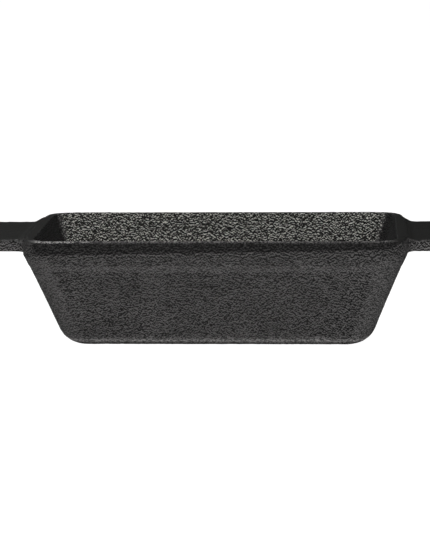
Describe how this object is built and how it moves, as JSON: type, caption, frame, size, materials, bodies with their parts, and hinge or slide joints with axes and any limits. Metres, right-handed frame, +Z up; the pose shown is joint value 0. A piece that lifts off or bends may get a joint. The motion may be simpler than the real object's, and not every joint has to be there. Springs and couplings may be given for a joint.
{
  "type": "loaf pan",
  "caption": "Cast iron loaf pan: a tapered rectangular tub with rounded corners, a rounded thick rim and a wide flat handle at each end.",
  "frame": {"origin": "middle of the underside, on the surface the pan stands on", "axes": "+X along the pan's length towards the right handle, +Y across the pan, +Z up out of the cavity"},
  "size_m": [0.318, 0.14, 0.071],
  "materials": {
    "seasoned_iron": "sand-cast texture under a black seasoned skin"
  },
  "bodies": {
    "root": {"base": "seasoned_iron", "side_wall": "seasoned_iron", "rim": "seasoned_iron", "left_handle": "seasoned_iron", "right_handle": "seasoned_iron"}
  },
  "joints": []
}
